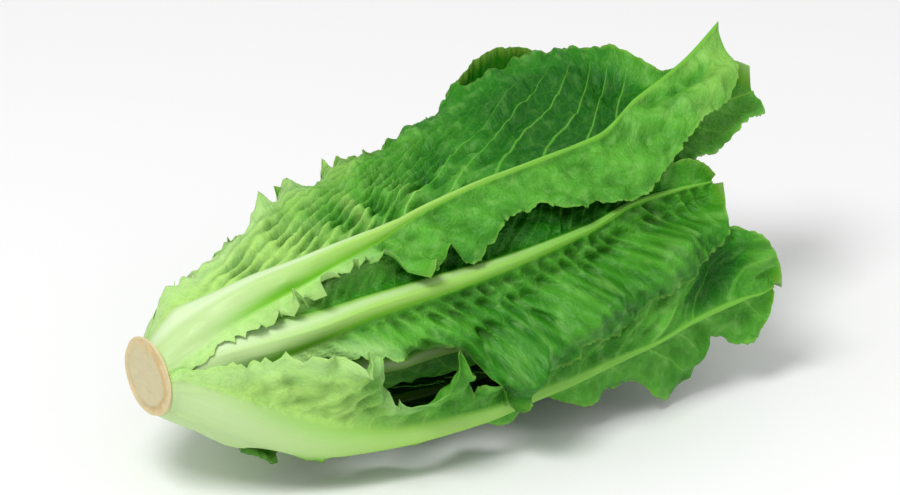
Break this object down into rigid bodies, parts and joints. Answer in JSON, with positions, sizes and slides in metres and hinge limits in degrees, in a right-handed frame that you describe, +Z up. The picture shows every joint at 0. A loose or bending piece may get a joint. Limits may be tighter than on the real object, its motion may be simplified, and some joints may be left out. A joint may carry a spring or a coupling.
{
  "type": "romaine lettuce head",
  "caption": "Head of romaine lettuce lying on its side: long ruffled leaves with thick pale midribs, laid over each other in a spiral round a short cut stem.",
  "frame": {"origin": "on the surface the head lies on, under the middle of its bounding box", "axes": "+X from the cut end to the leaf tips, +Z up, -Y the side the picture shows"},
  "size_m": [0.263, 0.1258, 0.1233],
  "materials": {
    "cut_stem": "moist cream flesh with a dried tan cut face",
    "outer_leaf": "crisp waxy green leaf with a pale juicy midrib, satin",
    "heart_leaf": "crisp pale yellow-green leaf with a whitish midrib, satin"
  },
  "bodies": {
    "root": {"stem": "cut_stem", "leaf_01": "outer_leaf", "leaf_02": "outer_leaf", "leaf_03": "outer_leaf", "leaf_04": "outer_leaf", "leaf_05": "outer_leaf", "leaf_06": "outer_leaf", "leaf_07": "outer_leaf", "leaf_08": "outer_leaf", "leaf_09": "outer_leaf", "leaf_10": "outer_leaf", "leaf_11": "heart_leaf", "leaf_12": "heart_leaf", "leaf_13": "heart_leaf", "leaf_14": "heart_leaf", "leaf_15": "heart_leaf", "leaf_16": "heart_leaf", "leaf_17": "heart_leaf", "leaf_18": "heart_leaf"}
  },
  "joints": []
}
